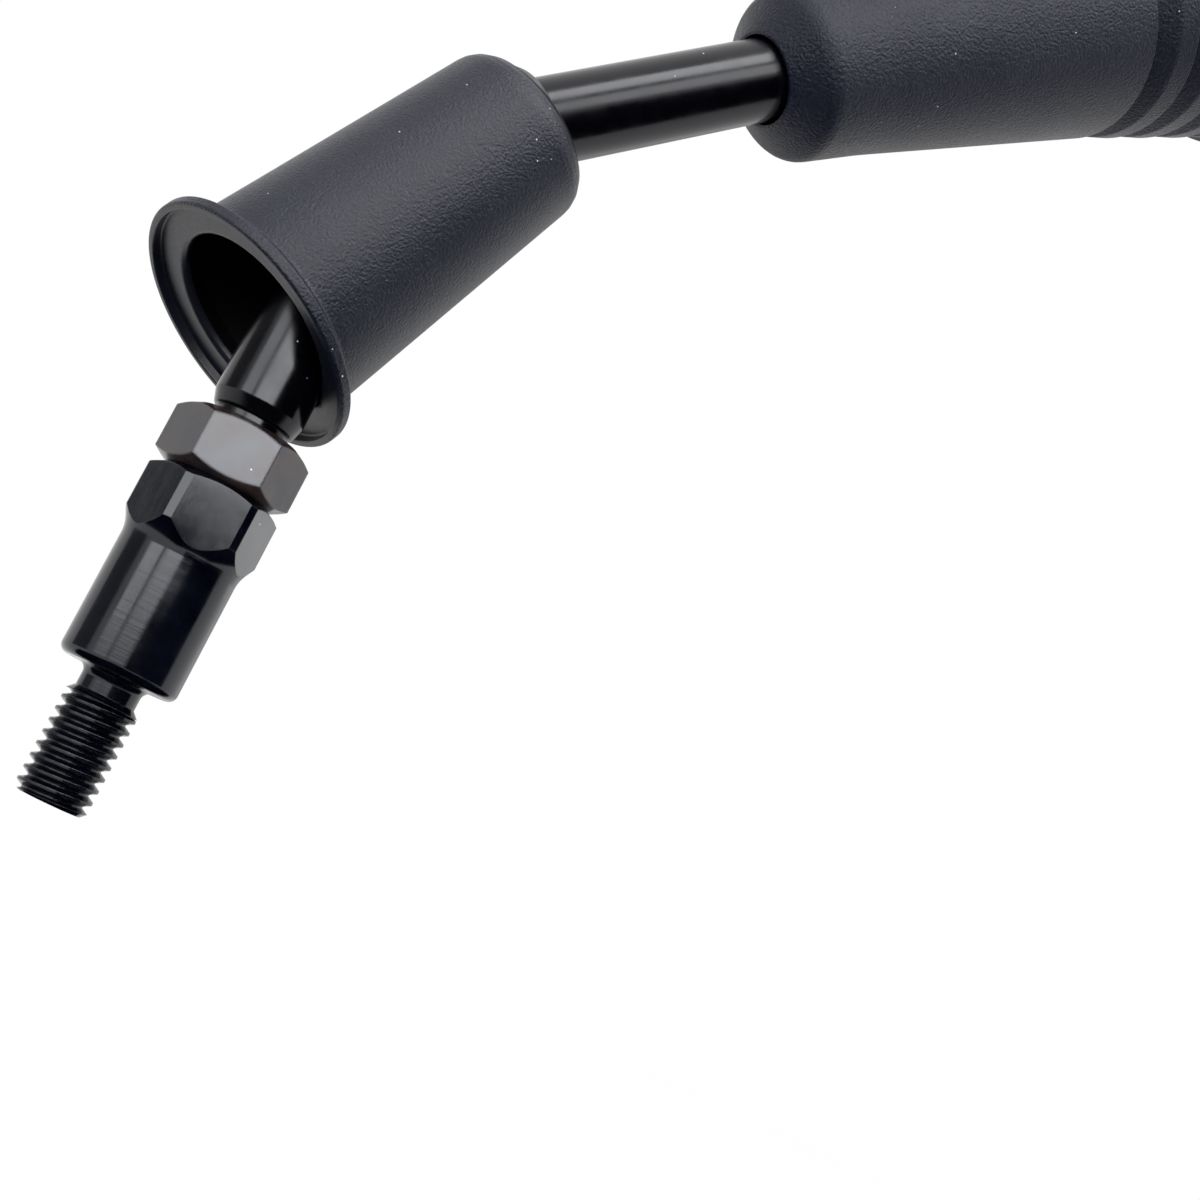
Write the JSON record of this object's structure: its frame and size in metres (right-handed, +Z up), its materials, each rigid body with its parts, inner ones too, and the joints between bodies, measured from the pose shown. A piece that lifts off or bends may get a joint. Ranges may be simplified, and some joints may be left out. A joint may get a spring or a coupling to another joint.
{
  "type": "mirror stem",
  "caption": "Bent rod with a threaded stud adapter, lock nut, sliding rubber boots and a ball-jointed bracket for a mirror head.",
  "frame": {"origin": "centre of the adapter's seating face, on the stud's axis", "axes": "+Z up the adapter's axis, away from the stud; the rod bends towards +X; +Y completes the frame"},
  "size_m": [0.1597, 0.054, 0.2323],
  "materials": {
    "black_plating": "glossy black plating",
    "black_paint": "glossy black paint",
    "boot_rubber": "fine matt grain",
    "bearing_steel": "turned",
    "white_nylon": "matt",
    "zinc_steel": "zinc plated",
    "cast_alloy": "satin black coat",
    "gasket_foam": "matt"
  },
  "bodies": {
    "adapter": {"stud_adapter": "black_plating"},
    "nut": {"lock_nut": "black_plating"},
    "stem": {"stem_rod": "black_paint", "stem_ball": "bearing_steel", "upper_boot": "boot_rubber", "boot_bellows": "boot_rubber"},
    "boot_lip": {"lower_boot_lip": "boot_rubber"},
    "boot_sleeve": {"lower_boot": "boot_rubber"},
    "tilt_liner": {"ball_liner_lower": "white_nylon"},
    "pan_liner": {"ball_liner_upper": "white_nylon"},
    "head": {"socket_retainer": "zinc_steel", "socket_seat": "zinc_steel", "clamp_screws": "zinc_steel", "lock_washers": "zinc_steel", "head_bracket": "cast_alloy", "head_gasket": "gasket_foam"}
  },
  "joints": [
    {"name": "stem_turn", "type": "hinge", "parent": "adapter", "child": "stem", "pos_m": [0, 0, 0.02685], "axis": [0, 0, 1], "range_deg": [-180, 180]},
    {"name": "nut_turn", "type": "hinge", "parent": "adapter", "child": "nut", "pos_m": [0, 0, 0.03105], "axis": [0, 0, 1], "range_deg": [0, 360]},
    {"name": "boot_slide", "type": "slide", "parent": "stem", "child": "boot_lip", "axis": [0.7133, 0, 0.7009], "range_m": [0, 0.036]},
    {"name": "boot_lean", "type": "hinge", "parent": "boot_lip", "child": "boot_sleeve", "pos_m": [0.0136, 0, 0.09108], "axis": [-0.0823, 0.9931, 0.0837], "range_deg": [0, 21.51]},
    {"name": "head_tilt", "type": "hinge", "parent": "stem", "child": "tilt_liner", "pos_m": [0.10193, 0, 0.17788], "axis": [0, 1, 0], "range_deg": [-12, 12], "deforming": ["boot_bellows"]},
    {"name": "head_pan", "type": "hinge", "parent": "tilt_liner", "child": "pan_liner", "pos_m": [0.10193, 0, 0.17788], "axis": [0.7009, 0, -0.7133], "range_deg": [-12, 12], "deforming": ["boot_bellows"]},
    {"name": "head_roll", "type": "hinge", "parent": "pan_liner", "child": "head", "pos_m": [0.10193, 0, 0.17788], "axis": [0.7133, 0, 0.7009], "range_deg": [-45, 45]}
  ],
  "couplings": [
    {"joint": "boot_lean", "follows": "boot_slide", "rad_per_m": 10.423}
  ]
}
